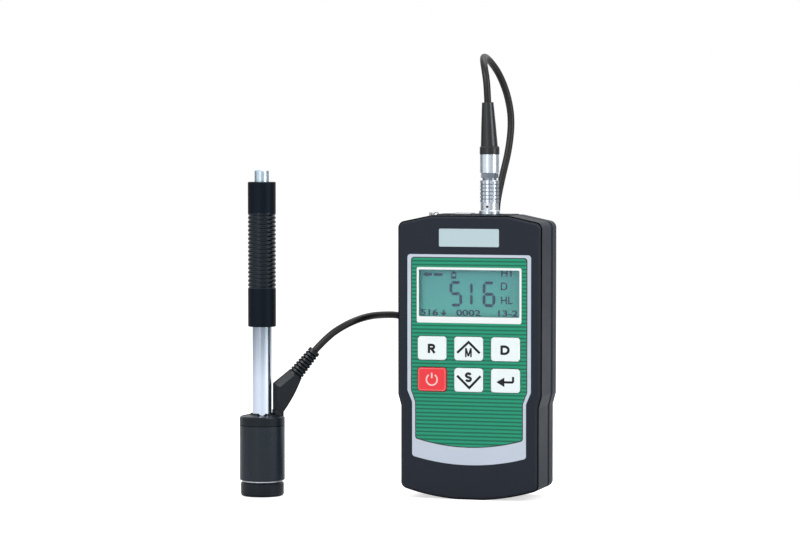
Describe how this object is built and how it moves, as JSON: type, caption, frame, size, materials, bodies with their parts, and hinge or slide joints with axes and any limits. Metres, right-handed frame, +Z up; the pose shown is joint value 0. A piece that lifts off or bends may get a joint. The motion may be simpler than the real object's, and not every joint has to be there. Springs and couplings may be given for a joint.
{
  "type": "digital hardness tester",
  "caption": "Hand-held display unit with keypad and a separate spring-loaded impact device on a thin cable, both standing upright.",
  "frame": {"origin": "middle of the common box of the display unit and the impact device, on the surface that both stand on", "axes": "+Z up, -Y towards the user (the display and keys face -Y), +X to the user's right, where the display unit stands"},
  "size_m": [0.1376, 0.0981, 0.1996],
  "materials": {
    "case_black": "moulded satin black",
    "film_print": "printed film, green field in a silver border",
    "plate": "satin silver plate",
    "clear": "clear window",
    "lcd": "green liquid crystal display",
    "board": "green circuit board",
    "key_white": "moulded white",
    "key_red": "moulded red",
    "cell": "battery can in plain sleeve",
    "spring_steel": "bright wire",
    "contact": "nickel plated strip",
    "screw": "blackened steel",
    "socket_metal": "plated",
    "port_metal": "plated",
    "bright_tube": "polished",
    "black_metal": "black anodised",
    "winding": "enamelled wire on a bobbin",
    "hard_steel": "ground",
    "magnet": "plated magnet",
    "tip": "hard metal ball",
    "connector_metal": "satin plated",
    "soft_black": "soft black moulding",
    "cable": "black cable sheath",
    "tie": "black strap"
  },
  "bodies": {
    "base": {"front_case": "case_black", "rear_case": "case_black", "connector_panel": "case_black", "keypad_overlay": "film_print", "name_plate": "plate", "display_window": "clear", "lcd_module": "lcd", "main_board": "board", "dome_switches": "spring_steel", "battery_left": "cell", "battery_right": "cell", "battery_springs": "spring_steel", "battery_contacts": "contact", "case_screws": "screw", "probe_socket": "socket_metal", "socket_nut": "socket_metal", "data_socket": "port_metal", "lanyard_eye": "screw", "support_ring": "black_metal", "coil_housing": "black_metal", "coil_cap": "black_metal", "coil_winding": "winding", "guide_tube": "bright_tube", "impact_spring": "spring_steel", "loading_spring": "spring_steel", "connector_body": "connector_metal", "cable_boot": "soft_black", "probe_plug": "soft_black", "strain_relief": "soft_black", "cable_coil": "cable", "cable_tie": "tie", "cable_upper": "cable", "cable_lower": "cable"},
    "loading_sleeve": {"loading_tube": "black_metal", "tube_cap": "black_metal", "catch": "hard_steel", "button_spring": "spring_steel"},
    "release": {"release_button": "black_metal", "catch_rod": "hard_steel"},
    "impact": {"impact_body": "hard_steel", "test_tip": "tip", "magnet": "magnet"},
    "plug_sleeve": {"connector_sleeve": "connector_metal"},
    "battery_lid": {"battery_cover": "case_black"},
    "return_key": {"key_return": "key_white"},
    "menu_key": {"key_menu": "key_white"},
    "device_key": {"key_device": "key_white"},
    "power_key": {"key_power": "key_red"},
    "store_key": {"key_store": "key_white"},
    "enter_key": {"key_enter": "key_white"}
  },
  "joints": [
    {"name": "loading_slide", "type": "slide", "parent": "base", "child": "loading_sleeve", "axis": [0, 0, -1], "range_m": [0, 0.02], "stiffness_N_per_m": 150, "springref_m": -0.02, "deforming": ["loading_spring"]},
    {"name": "release_press", "type": "slide", "parent": "loading_sleeve", "child": "release", "axis": [0, 0, -1], "range_m": [0, 0.003], "stiffness_N_per_m": 300, "springref_m": -0.003, "deforming": ["button_spring"]},
    {"name": "impact_slide", "type": "slide", "parent": "base", "child": "impact", "axis": [0, 0, 1], "range_m": [0, 0.006], "stiffness_N_per_m": 150, "springref_m": -0.01, "deforming": ["impact_spring"]},
    {"name": "plug_sleeve_pull", "type": "slide", "parent": "base", "child": "plug_sleeve", "axis": [0, 0, 1], "range_m": [0, 0.001], "stiffness_N_per_m": 500, "springref_m": -0.001},
    {"name": "battery_lid_pull", "type": "slide", "parent": "base", "child": "battery_lid", "axis": [0, 1, 0], "range_m": [0, 0.02]},
    {"name": "return_key_press", "type": "slide", "parent": "base", "child": "return_key", "axis": [0, 1, 0], "range_m": [0, 0.0005], "stiffness_N_per_m": 600, "springref_m": -0.0005},
    {"name": "menu_key_press", "type": "slide", "parent": "base", "child": "menu_key", "axis": [0, 1, 0], "range_m": [0, 0.0005], "stiffness_N_per_m": 600, "springref_m": -0.0005},
    {"name": "device_key_press", "type": "slide", "parent": "base", "child": "device_key", "axis": [0, 1, 0], "range_m": [0, 0.0005], "stiffness_N_per_m": 600, "springref_m": -0.0005},
    {"name": "power_key_press", "type": "slide", "parent": "base", "child": "power_key", "axis": [0, 1, 0], "range_m": [0, 0.0005], "stiffness_N_per_m": 600, "springref_m": -0.0005},
    {"name": "store_key_press", "type": "slide", "parent": "base", "child": "store_key", "axis": [0, 1, 0], "range_m": [0, 0.0005], "stiffness_N_per_m": 600, "springref_m": -0.0005},
    {"name": "enter_key_press", "type": "slide", "parent": "base", "child": "enter_key", "axis": [0, 1, 0], "range_m": [0, 0.0005], "stiffness_N_per_m": 600, "springref_m": -0.0005}
  ]
}
